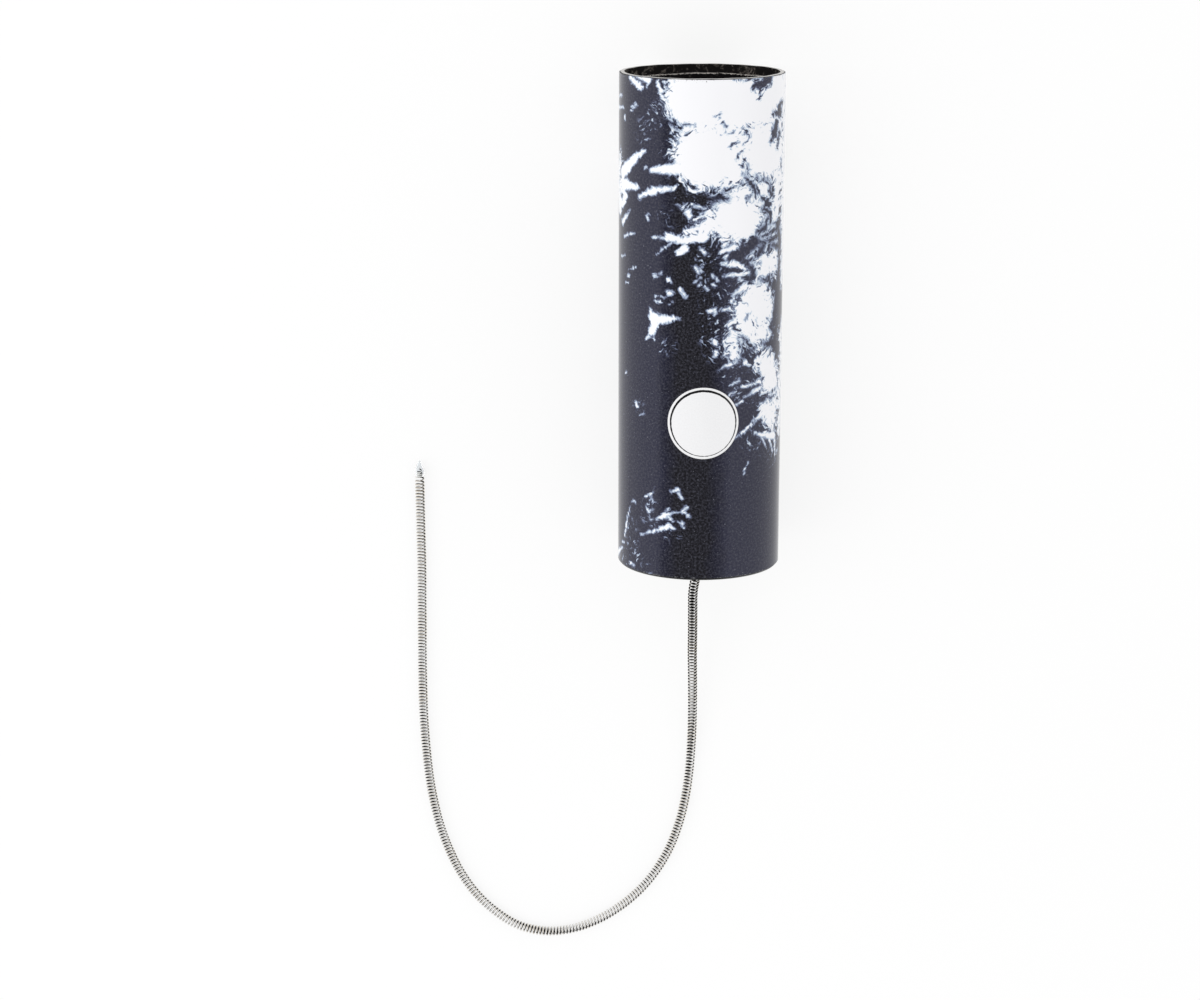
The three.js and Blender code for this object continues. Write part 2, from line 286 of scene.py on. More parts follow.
# Places beside the spring's route: out by a radius at an angle, counted from straight above the route
def besideRoute(along, radius, angle):
    slopeStep = 0.2 * millimetre
    inside = np.clip(along, 0, routeLength)
    ahead = alongCurve(routeCurve, np.clip(inside + slopeStep, 0, routeLength))
    behind = alongCurve(routeCurve, np.clip(inside - slopeStep, 0, routeLength))
    tangent = unit(ahead - behind)
    above = unit(np.array([0, 0, 1.0]) - tangent[:, 2:] * tangent)
    side = np.cross(tangent, above)
    out = np.cos(angle)[:, None] * above + np.sin(angle)[:, None] * side
    middle = alongCurve(routeCurve, inside) + (along - inside)[:, None] * tangent
    return middle + np.asarray(radius)[..., None] * out, out, tangent


# A round section carried along a path: path + r (cos a n + sin a b), with n outward and b square to the path.
# The UV map holds the length along the wire in millimetres, and cos a, which is 1 on the coil's outside.
def wirePiece(name, path, outward, radius, sides):
    tangent = unit(np.gradient(path, axis=0))
    normal = unit(outward - (outward * tangent).sum(-1, keepdims=True) * tangent)
    binormal = np.cross(tangent, normal)
    angle = roundAngles(sides)[None, :, None]
    points = path[:, None] + radius * (np.cos(angle) * normal[:, None] + np.sin(angle) * binormal[:, None])
    length = lengthAlong(path) / millimetre
    sheet = np.stack(np.broadcast_arrays(length[:, None], np.cos(angle[..., 0])), -1)
    faces, caps = gridFaces(len(path), sides, False, True)[:, ::-1], endCaps(len(path), sides)
    return meshPiece(name, points, faces, caps, sheet, sharpAngle=60)


hinge = np.array([0, pinLow.y + millimetre * spring["hinge"], axisHeight])
layHeight = millimetre * (spring["outside"] / 2 + spring["floorGap"])
routePoints = np.stack([
    millimetre * springRoute[:, 0],
    hinge[1] - millimetre * springRoute[:, 1],
    layHeight + springRoute[:, 2] * (axisHeight - layHeight),
], -1)
routePoints[-1, 2] = millimetre * (spring["dropWide"] / 2 + spring["floorGap"])
routeCurve = curveThrough(routePoints, 60)
routeLength = lengthAlong(routeCurve)[-1]


# Hook, run-in, close turns, stretched turns, the turns in the drop and a tail: each stretch is a run of
# places beside the route, and all of them are one wire. The close turns stand wider at first, by a falling
# exponential.
def buildSpring():
    wire = millimetre * spring["wire"]
    steps, turns, circle = spring["stepsPerTurn"], spring["turns"], 2 * np.pi
    coilRadius = (millimetre * spring["outside"] - wire) / 2
    hookCentre = coilRadius - millimetre * spring["hookSlack"] - wire / 2
    coilStart = hookCentre + wire
    runIn = millimetre * spring["runIn"]
    openLength, openTurns = millimetre * spring["stretched"][0], spring["stretched"][1]
    gripLength, gripTurns = millimetre * spring["gripped"][0], spring["gripped"][1]
    coilEnd = routeLength - openLength
    closeLength = coilEnd - coilStart - runIn
    reach = millimetre * spring["sagReach"] / closeLength
    turned = np.linspace(0, 1, steps * turns + 1)
    pulled = reach * (1 - np.exp(-turned / reach))
    close = closeLength * (turned + spring["sag"] * (pulled - turned * pulled[-1]))
    turnRate = circle * turns / closeLength / (1 + spring["sag"] * (1 - pulled[-1]))
    gripRadius = coilRadius * spring["grippedShare"]

    legSteps = 6
    legAlong = hookCentre + np.linspace(millimetre * spring["hookLeg"], 0.2 * millimetre, legSteps)
    leg, legOut, _ = besideRoute(legAlong, np.full(legSteps, coilRadius), np.full(legSteps, np.pi))
    bow = np.linspace(-np.pi / 2, -3 * np.pi / 2, 2 * steps)
    hookAlong = hookCentre + coilRadius * np.cos(bow)
    hook, above, tangent = besideRoute(hookAlong, coilRadius * np.sin(bow), 0 * bow)
    hookOut = np.cos(bow)[:, None] * tangent + np.sin(bow)[:, None] * above

    inward = np.linspace(0, runIn, 3 * steps, endpoint=False)
    opening = np.linspace(0, 1, int(2 * steps * openTurns), endpoint=False)
    gripping = np.linspace(0, 1, int(steps * gripTurns), endpoint=False)
    closing = np.linspace(0, 1, steps)
    closeAngle = turnRate * runIn / 2
    openAngle = closeAngle + circle * turns
    gripAngle = openAngle + circle * openTurns
    tailAngle = gripAngle + circle * gripTurns
    along = np.concatenate([
        coilStart + inward,
        coilStart + runIn + close[:-1],
        coilEnd + openLength * opening,
        routeLength + gripLength * gripping,
        routeLength + gripLength + millimetre * spring["tail"] * closing,
    ])
    angle = np.concatenate([
        turnRate * inward ** 2 / (2 * runIn),
        closeAngle + circle * turns * turned[:-1],
        openAngle + circle * openTurns * opening,
        gripAngle + circle * gripTurns * gripping,
        tailAngle + np.pi * closing,
    ])
    radius = np.concatenate([
        np.full(len(inward) + steps * turns, coilRadius),
        coilRadius + (gripRadius - coilRadius) * opening,
        np.full(len(gripping), gripRadius),
        gripRadius * np.cos(np.pi / 2 * closing),
    ])
    coil, coilOut, _ = besideRoute(along, radius, angle)
    path, out = np.vstack([leg, hook, coil]), np.vstack([legOut, hookOut, coilOut])
    return wirePiece("fine_spring", path, out, wire / 2, spring["sides"])


# Bright drawn spring wire: near mirror on the coil's outside, and on its inside dull with painted shade, so
# that the gaps between turns read dark. Near the hook the painted shade reaches further round each turn.
def springMaterial():
    material, add, surface = newMaterial("bright spring steel")
    place = add("TexCoord").outputs["Object"]
    wire = add("SeparateXYZ", [add("UVMap", uv_map="sheet")]).outputs
    # near the hook the painted shade is widened round each turn
    hookShade = add("MapRange", [wire["X"], *spring["hookShadeReach"], spring["hookShade"], 0.0])
    facing = add("Math", [wire["Y"], hookShade], operation="SUBTRACT")
    # painted shade: the wire's inner faces, and more of each turn near the hook, take the dark colour below
    inside = add("MapRange", [facing, 0.6, 0.1])
    steel = [(0.4, spring["steelColour"]), (0.7, spring["warmColour"])]
    _, bright = cloudedColour(add, place, spring["tarnish"], {"Detail": 4.0, "Roughness": 0.6}, steel)
    setInputs(surface, {
        "Base Color": add("Mix", [inside, bright, spring["paintedShadeColour"]], data_type="RGBA"),
        "Metallic": 1.0,
        "Roughness": add("MapRange", [inside, 0.0, 1.0, 0.2, 0.6]),
    })
    return material


springPiece = buildSpring()
print(f"stage: spring of {spring['turns']} turns along {1000 * routeLength:.1f} mm")


# Clear drop on the spring's end: pointed at its tip and cast solid round the last turns
drop = {
    "length": 6.8,
    "shape": [  # radius against the half width, and place along the length
        (0.9, 0.0), (0.96, 0.08), (1.0, 0.25), (0.97, 0.38),
        (0.84, 0.54), (0.62, 0.7), (0.36, 0.86), (0.14, 0.97),
    ],
    "clearColour": "#f4f7f9",
    "cloudColour": "#dfe5ea",
    "uneven": 1.6,
}


# A profile of radius against length, smoothed by a curve and turned round the route's end
def buildDrop():
    wide, length = millimetre * spring["dropWide"] / 2, millimetre * drop["length"]
    pole = 0.01 * millimetre
    shape = np.array([[r * wide, 0, s * length] for r, s in drop["shape"]] + [[pole, 0, length]])
    profile = np.vstack([[[pole, 0]], curveThrough(shape, 5)[:, [0, 2]]])
    turnSteps, rows = 48, len(profile)
    spots = np.tile(profile[:, 1], turnSteps) + routeLength
    angle = np.repeat(roundAngles(turnSteps), rows)
    places, _, _ = besideRoute(spots, np.tile(profile[:, 0], turnSteps), angle)
    base = np.arange(turnSteps) * rows
    faces = gridFaces(turnSteps, rows, True, False)[:, ::-1]
    return meshPiece("clear_drop", places, faces, [base + rows - 1, base[::-1]], sharpAngle=50)


# Clear soft vinyl: water-clear with a faint cool cloud, its surface slightly uneven from dipping
def dropMaterial():
    material, add, surface = newMaterial("clear soft vinyl")
    place = add("TexCoord").outputs["Object"]
    clear = [(0.3, drop["cloudColour"]), (0.7, drop["clearColour"])]
    uneven, tone = cloudedColour(add, place, drop["uneven"], {"Detail": 2.0}, clear)
    setInputs(surface, {
        "Base Color": tone,
        "Roughness": 0.06,
        "IOR": 1.52,
        "Transmission Weight": 0.92,
        "Normal": add("Bump", {"Height": uneven, "Distance": 0.3 * millimetre, "Strength": 0.5}),
    })
    return material


dropPiece = buildDrop()
finishPiece(springPiece, springMaterial(), "spring", "spring_steel", "long_spring")
finishPiece(dropPiece, dropMaterial(), "spring", "clear_drop", "tip_cap")
print("stage: spring and drop finished")


# Board tube: wound paperboard, pale where its rim is cut, and dyed black down its bore
board = {
    "bore": 62,
    "chamfer": 0.3,
    "seatDepth": 0.35,
    "skirt": 8.1,
    "headCorner": 0.65,
    "rimWave": 0.2,  # how far the hand-trimmed rim dips
    "turnSteps": 320,
    "cutColour": "#e3e2e0",
    "fibreColour": "#aaa7a5",
    "boreColour": "#1d1b1b",
    "boreWorn": "#8d857e",
    "dyeReach": (0.4, 0.2),  # from the bore to where the dye is gone, and how softly it ends
    # the colour of a broken dark line round the board's outer edge, beside the wrap
    "outerLineColour": "#26262a",
    "fibre": 0.35,
    "wear": 3.846,
}


# A closed wall profile turned round the axis. The rim dips by a sum of three sines of the angle.
def buildBoard():
    bore, outer, steps = millimetre * board["bore"] / 2, boardRadius, board["turnSteps"]
    chamfer, corner = millimetre * board["chamfer"], millimetre * board["headCorner"]
    seat, seatEnd = outer - millimetre * board["seatDepth"], headY + millimetre * board["skirt"]
    low = tubeLow.y
    profile = np.vstack([
        [[bore, low]],
        arcProfile((seat - corner, low + corner), corner, -90, 0),
        [[seat, seatEnd], [outer, seatEnd]],
        arcProfile((outer - chamfer, rimY - chamfer), chamfer, 0, 90, 4),
        arcProfile((bore + chamfer, rimY - chamfer), chamfer, 90, 180, 4),
    ])
    points = turnedPoints(profile, steps)
    angle = roundAngles(steps)[:, None]
    wave = (np.sin(3 * angle + 1) + np.sin(7 * angle) + np.sin(17 * angle + 2)) / 6 - 0.5
    nearRim = profile[None, :, 1] > rimY - 2 * chamfer
    points[..., 1] += millimetre * board["rimWave"] * wave * nearRim
    return meshPiece("board_tube", points, gridFaces(steps, len(profile), True, True), sharpAngle=40)


# Cut grey paperboard: matt felted fibres on the rim, a broken dark line round its outer edge beside the wrap,
# and a bore that is dyed black and worn in spots
def boardMaterial():
    material, add, surface = newMaterial("cut paperboard")
    place = add("TexCoord").outputs["Object"]
    middle = add("VectorMath", [place, (0, 0, -axisHeight)], operation="ADD")
    flat = add("VectorMath", [middle, (1, 0, 1)], operation="MULTIPLY")
    radius = add("VectorMath", [flat], operation="LENGTH")
    pulp = [(0.3, board["fibreColour"]), (0.6, board["cutColour"])]
    fibres, cut = cloudedColour(add, place, board["fibre"], {"Detail": 4.0, "Roughness": 0.65}, pulp)
    dyed = [(0.52, board["boreColour"]), (0.7, board["boreWorn"])]
    spotted = {"Detail": 8.0, "Roughness": 0.72, "Distortion": 1.2}
    _, bore = cloudedColour(add, place, board["wear"], spotted, dyed)
    dyeEnd, soft = millimetre * np.array(board["dyeReach"])
    dyeEnd += millimetre * board["bore"] / 2
    inside = add("MapRange", [radius, dyeEnd, dyeEnd - soft])
    ragged = add("Math", [fibres, 0.5 * millimetre, radius], operation="MULTIPLY_ADD")
    # a broken dark line round the board's outer edge, beside the wrap
    outside = add("MapRange", [ragged, boardRadius + 0.05 * millimetre, boardRadius + 0.2 * millimetre])
    colour = add("Mix", [inside, cut, bore], data_type="RGBA")
    setInputs(surface, {
        "Base Color": add("Mix", [outside, colour, board["outerLineColour"]], data_type="RGBA"),
        "Roughness": 0.9,
        "Specular IOR Level": 0.03,
        "Normal": add("Bump", {"Height": fibres, "Distance": 0.08 * millimetre, "Strength": 0.25}),
    })
    return material


finishPiece(buildBoard(), boardMaterial(), "drum", "board", "tube_body")
print("stage: board tube")


# Lining: thin black paper glued down the bore, with a hand-cut wavy edge whose fibres show light
lining = {
    "inside": 30.6,
    "outside": 30.92,
    "setback": 3.5,
    "edgeWave": 0.6,
    "turnSteps": 320,
    "rows": 40,
    "colour": "#181617",
    "scuffColour": "#9a928a",
    "edgeColour": "#d6d0ca",
    "edgeWidth": 0.6,  # of the pale fibres, where they are longest
    "torn": 0.9,
    "scuff": 3.0,
}


# A thin wall turned round the axis. Its edge wanders by a sum of sines, kept below the setback.
def buildLining():
    steps, rows = lining["turnSteps"], lining["rows"]
    inside, outside = millimetre * lining["inside"], millimetre * lining["outside"]
    angle = roundAngles(steps)[:, None]
    wander = np.sin(2 * angle) + np.sin(5 * angle + 2) + 0.7 * np.sin(13 * angle) + 0.4 * np.sin(37 * angle)
    edge = rimY - millimetre * (lining["setback"] + lining["edgeWave"] * (0.5 + wander / 6))
    down = edge - (edge - tubeLow.y) * np.linspace(0, 1, rows)[None, :] ** 2
    radius = np.concatenate([np.full(rows, inside), np.full(2, outside)])[None, :]
    along = np.concatenate([down, np.full((steps, 1), tubeLow.y), edge], axis=1)
    across = np.broadcast_to(lining["inside"] * angle, along.shape)
    sheet = np.stack([across, (edge - along) / millimetre], -1)
    faces = gridFaces(steps, rows + 2, True, True)[:, ::-1]
    return meshPiece("lining_sheet", axisPoints(radius, along, angle), faces, sheet=sheet)


# Black kraft lining paper: dead matt, with pale fibres rubbed up in scuffs and along its cut edge
def liningMaterial():
    material, add, surface = newMaterial("black lining paper")
    down = add("SeparateXYZ", [add("UVMap", uv_map="sheet")]).outputs["Y"]
    place = add("TexCoord").outputs["Object"]
    rubbed = [(0.56, lining["colour"]), (0.74, lining["scuffColour"])]
    scratched = {"Detail": 9.0, "Roughness": 0.75, "Distortion": 0.6}
    scuffs, paper = cloudedColour(add, place, lining["scuff"], scratched, rubbed)
    torn = add("TexNoise", {
        "Vector": place, "Scale": 1 / (millimetre * lining["torn"]), "Detail": 4.0, "Roughness": 0.7,
    })
    reach = add("MapRange", [torn, 0.4, 0.6, 0.0, lining["edgeWidth"]])
    edge = add("Math", [down, reach], operation="LESS_THAN")
    setInputs(surface, {
        "Base Color": add("Mix", [edge, paper, lining["edgeColour"]], data_type="RGBA"),
        "Roughness": 0.9,
        "Specular IOR Level": 0.03,
        "Normal": add("Bump", {"Height": scuffs, "Distance": 0.2 * millimetre, "Strength": 0.15}),
    })
    return material


finishPiece(buildLining(), liningMaterial(), "drum", "lining", "inner_liner")
print("stage: lining")


# Printed wrap: gloss-laminated paper rolled once round the tube, lapped low on its right side
wrap = {
    "thickness": 0.3,
    "lapAngle": 126.6,  # degrees from the top towards +X where the sheet starts and its end laps over
    "lap": 16.9,  # degrees
    "lapLift": 0.3,
    "edgeWave": 0.18,
    "turnSteps": 340,
    "rows": 26,
    "gloss": 0.16,
    "sheen": 0.3,
    "paperColour": "#fbfbfe",
    "ghostColour": "#dde7f1",
    "paleColour": "#b4c3d8",
    "tintColour": "#7a84a0",
    "slateColour": "#474a5f",
    "inkColour": "#1d1c20",
    # painted reflection: the bluish sheen that the gloss shows on the flanks, put into the ink's colour there
    "paintedFlankSheen": "#25263a",
    "wornColour": "#4c4d58",
    "saltColour": "#9698a6",
    "rawEdgeColour": "#8f8f92",
    "ragged": (1.7, 1.6, {"Detail": 4.0, "Roughness": 0.6}),  # size of a noise, and how far it pushes strokes
    "wander": (7, 7, {"Detail": 2.0}),
    "feather": (3.6, 1.4),  # length and width
    "grainTurns": ((-27, 0), (48, 40)),  # degrees that each grain is turned by, and where its noise starts
    "grainPatch": 16,  # size of the patches in which one grain or the other leads
    "fieldEdge": (2.0, 26.0, -1.6, 2.2),  # rounding, feathering, and where the dye is bare and full
    "creaseEdge": (0.3, 4.5, -0.9, 0.55),
    "runEdge": (0.3, 9.0, 0.8, -1.1),
    "zoneEdge": (2.0, 0.0, -2.0, 2.5),
    # the painted flank sheen is nothing along this line across the sheet, and grows to full between these two
    # distances
    "sheenFreeLine": -4,  # across, where the ink is blackest, and how far from it the blue starts and is full
    "paintedSheenReach": (6, 15),
    "mottle": 0.9091,  # these last are sizes of noises, some of them across and along the drum
    "hairline": (0.3846, 3.333),
    "salt": 0.5882,
    "chip": 0.7692,
    "ripple": (0.9091, 20),
    "chipReach": 1.8,  # how far in from a cut end the longest chip goes
}

# Tie-dye on the unrolled sheet, in millimetres. Each stroke runs through two or more places of three numbers
# each: across from the top line, along the drum, and half width. Undyed fields and creases stay white, dye
# runs over them, and in broken zones the dye is only veined.
undyedFields = [
    (-3, 93, 14, 34, 94, 13), (0, 71, 13.5, 10, 70, 12), (27, 72, 12, 35, 69, 9), (12, 46, 10, 17, 46, 9.3),
    (13, 58, 5, 17, 57, 4), (3, 44, 4.5, -5, 40.6, 2), (37, 62, 3.6, 36.5, 48, 4.6),
    (27.5, 26.5, 5.4, 34, 26.5, 5.2), (24, 12, 8.6, 27, 9, 8.4), (17.5, 9, 5, 19, 2, 5.4),
    (13, -3, 3.2, 13.5, -7, 3.2), (22, -2, 4.4, 28, -1, 5), (29, -13, 4.8, 33.5, -20, 7),
    (38, -20, 4, 38, -32, 4), (29.5, -32.5, 4, 35, -37, 6), (-43, 57.5, 4, -49, 51, 4),
    (25, 57, 5.5, 33, 45, 5.5), (38, 88, 4, 40, 60, 4.5), (28, 38, 2.6, 38, 36, 3.4),
    (21, 31, 2.2, 24, 22, 3), (45, 98, 4, 46, 62, 4.5), (46, 58, 5, 46, 20, 3.6), (46, -2, 3, 45, -42, 4),
    (-46, 66, 3, -52, 58, 4), (-62, 72, 7, -78, 62, 9), (-90, 90, 11, -112, 82, 9), (-84, 26, 4, -98, 14, 8),
    (-102, -2, 6, -112, -14, 5), (-112, -34, 7, -126, -52, 5), (-128, 44, 8, -138, 26, 6),
    (-142, 84, 9, -128, 98, 8), (58, 80, 9, 66, 64, 6), (62, 30, 5, 70, 18, 6), (64, -24, 3, 72, -36, 5),
    (-74, -52, 2.5, -86, -62, 4),
]

whiteCreases = [
    (-35, 100.5, 1.4, -28.4, 97.3, 1.6), (-31, 101.4, 0.8, -24, 100.2, 1.7),
    (-24.8, 97.4, 0.5, -24.4, 99, 0.6), (-19.3, 99.4, 1, -18, 96.4, 1.3), (-34.2, 89, 0.3, -30.8, 90.2, 0.7),
    (-35.6, 87, 0.2, -31.4, 89.4, 0.4), (-49, 92.2, 1, -42.8, 92.8, 0.4), (-50, 87.3, 1, -41.4, 88, 0.35),
    (-40.2, 84.4, 0.9, -40, 83.8, 0.9), (-26, 72.2, 1, -31.5, 69.4, 1.6), (-31.5, 68.6, 2, -42, 62, 3.2),
    (-25.8, 65.6, 0.5, -24.6, 66.2, 0.5), (-22, 65.1, 1.3, -10, 66.4, 3),
    (-12, 58.7, 0.9, -21, 57, 1.7, -28.6, 53.9, 0.9), (-30.4, 57.4, 1.3, -42, 57.6, 3.2),
    (-39.4, 53, 2.2, -46.5, 47.6, 3.6), (-35, 47.6, 0.4, -42, 42, 1.6), (-24.3, 46.7, 1, -24, 45.3, 0.7),
    (-40, 36.6, 0.7, -37, 37.6, 0.7), (-36.2, 37.6, 0.25, -31.4, 38.8, 0.35),
    (-43.6, 27.8, 0.35, -39.4, 29, 0.25), (-36.6, 23.4, 0.2, -31, 25.2, 0.4),
    (-36.6, 20.9, 0.7, -35.8, 21.3, 0.7), (-38.6, 17.6, 0.25, -36.4, 18.2, 0.25),
    (-20.8, 22.9, 0.8, -17, 24.4, 0.3), (-14.3, 21.9, 0.8, -13.2, 21.4, 0.6),
    (-14.4, 16.6, 1.2, -13, 16.4, 1.1), (-9.2, 18.4, 0.8, -7.4, 15.6, 0.9),
    (-19.8, 14.9, 0.5, -15.6, 15, 0.2), (-20.6, 13, 0.35, -18, 12.8, 0.6),
    (-13.8, 12.1, 0.5, -12.6, 12.8, 0.45), (-19.6, 31.7, 0.25, -13, 36.8, 0.6),
    (-14.6, 39, 2, -8, 37.6, 1.5, 0, 39.6, 2.4), (-22, 38.4, 0.35, -16, 38.7, 0.7),
    (-10, 33, 1.5, -7.4, 34.6, 1.8), (-8, 41.6, 0.6, 0, 43.2, 1.8), (-6.4, 49.4, 1.7, -5.8, 47.4, 1.3),
    (-9, 50.4, 0.5, -7, 52.6, 0.5), (-5, 52.4, 0.5, 0.4, 50.6, 0.7), (-1.4, 48.6, 0.5, 1, 49.4, 0.6),
    # winged mark
    (-23, 10.4, 0.2, -22, 7, 1.4), (-21, 6, 2.5, -16.5, 5.6, 2.1, -9.2, 7, 0.35),
    (-20.7, 3.4, 2.2, -22, -0.4, 1.5), (-22.6, -0.4, 0.9, -24.6, -2.9, 0.35),
    (-21, -0.6, 0.9, -20.7, -3, 0.4),
    # scribbles left of the right-hand band
    (-3.6, 27.6, 0.6, -2, 25.6, 0.9, -0.4, 28.2, 0.25), (-3.8, 21, 0.2, -1.4, 23, 0.35),
    (-1.8, 20.2, 0.5, -1, 21, 0.5), (0.6, 19.6, 0.6, 1.8, 18.2, 0.6),
    (7.4, 28.6, 0.6, 12, 28.3, 1.6, 17.4, 26.4, 1.2), (8, 23.5, 0.5, 12, 24, 1, 19.4, 24.2, 1),
    (15, 22.3, 1.1, 17.2, 21.4, 0.7), (3.5, 24.2, 0.7, 3.8, 23.6, 0.7), (5, 22.8, 0.6, 5.6, 22, 0.6),
    (4, 20.4, 0.7, 4.6, 19.8, 0.6), (0.6, 33, 0.9, -1.2, 34.8, 0.8), (7, 33.4, 1, 12.4, 35, 1.4),
    (8.4, 31.2, 0.8, 9.6, 31.8, 0.6), (2.4, 9.7, 0.8, 4.6, 10.4, 1.1, 4.8, 8.4, 0.6),
    (7.8, 10.2, 0.6, 10.6, 10.4, 1), (11.4, 13.4, 0.9, 12.4, 14.4, 0.7), (12.4, 16, 0.9, 18, 19.6, 1.6),
    (10.2, 4.2, 1.1, 13.6, 5.8, 1.4), (11, 2.6, 0.9, 12.6, 0.4, 1.1), (4.4, -2.6, 1.2, 5.2, -3.6, 1),
    (5.3, -7, 1.1, 4.8, -8.5, 0.9), (9, -12.8, 0.7, 11.8, -12.3, 1.1), (7.2, -13.7, 0.25, 9, -12.8, 0.6),
    (11.4, -20.7, 0.35, 15, -19.1, 0.9), (11.2, -24.7, 0.4, 13.4, -23.6, 0.6),
    (14.4, -28.7, 0.5, 17, -27.7, 0.6), (16.6, -21.8, 0.6, 26, -20.8, 1), (17.6, -26.3, 0.4, 26, -23.4, 1.3),
    (18, -12, 1.2, 20.4, -13.4, 1), (22.2, -14.8, 0.8, 24.6, -11, 1.4),
    (27, -34.4, 1.6, 21, -38, 1, 13.4, -42.8, 0.45), (27, -43, 1.1, 37, -45, 2),
    (23.6, -41.4, 0.7, 28, -43.6, 1), (28, -45, 0.6, 30.2, -47.6, 0.4), (33, -46, 0.8, 36, -51.4, 0.5),
    (38, -47, 1.2, 38.7, -53.4, 0.5), (18.5, -55.8, 0.7, 18, -58.3, 0.6),
    (18.9, -55.4, 0.3, 20.2, -53.2, 0.25),
    # low marks near the head
    (-30.4, -30.2, 0.9, -29.8, -31.6, 0.9), (-38.8, -19.3, 0.4, -37.2, -19, 0.35),
    (-12.2, -64.6, 0.5, -9.6, -63.4, 0.8), (-9.2, -65, 0.6, -8, -67.2, 0.9),
    (-7.8, -72.6, 0.8, -6, -70.9, 0.8), (-6.8, -73, 0.6, -5, -74.6, 0.7), (-8, -72.8, 0.3, -12.6, -73.6, 0.5),
    (-12.6, -73.8, 0.6, -15.6, -75, 1.5, -19, -77, 0.4), (-15.4, -74, 0.7, -13.2, -71.4, 0.2),
    (-13.6, -75.4, 0.9, -11.4, -77.4, 0.4), (-9.6, -77.1, 0.3, -8, -77.6, 0.8, -7.2, -79.5, 0.5),
    (-11, -80, 0.5, -13.4, -79.2, 1.3, -27.4, -84.9, 0.2),
    (-20.4, -64.2, 0.25, -22, -67.4, 0.7, -20.9, -70, 0.3), (-24.7, -68.2, 0.35, -24, -68, 0.4),
    (-24.6, -72.3, 0.25, -23, -74.3, 0.6, -21, -73, 0.4), (-22.2, -77.6, 0.5, -21, -77.2, 0.5),
    (-34.4, -74, 0.25, -36.6, -80, 0.65, -39.2, -87.6, 0.7), (-33.6, -72, 0.25, -30.8, -71.5, 0.6),
    (-42, -90.9, 0.8, -39.4, -90.7, 0.35), (-41.6, -93.4, 0.5, -50, -97.6, 1.6),
    (-34.2, -98, 0.7, -31.6, -98.8, 0.8),
    # the sides that lie away from the camera
    (-58, 18, 0.6, -66, 10, 1.2), (-68, 40, 0.8, -80, 44, 2.2), (-70, -8, 0.8, -82, -20, 2.2),
    (-60, -34, 0.5, -66, -40, 1), (-66, -84, 0.4, -78, -78, 1.4), (-96, -76, 0.5, -112, -70, 2.4),
    (-104, 48, 0.6, -114, 56, 2), (-92, -40, 0.5, -98, -46, 1.2), (-138, -84, 0.6, -128, -90, 1.8),
    (-132, -12, 0.8, -122, -4, 2), (-118, 22, 0.4, -112, 28, 1), (-140, -30, 0.6, -134, -36, 1.4),
    (56, 4, 0.6, 64, -2, 1.6), (56, -60, 0.6, 66, -70, 1.8), (60, -86, 0.5, 70, -92, 1.4),
    (54, 50, 0.5, 60, 44, 1.2),
]

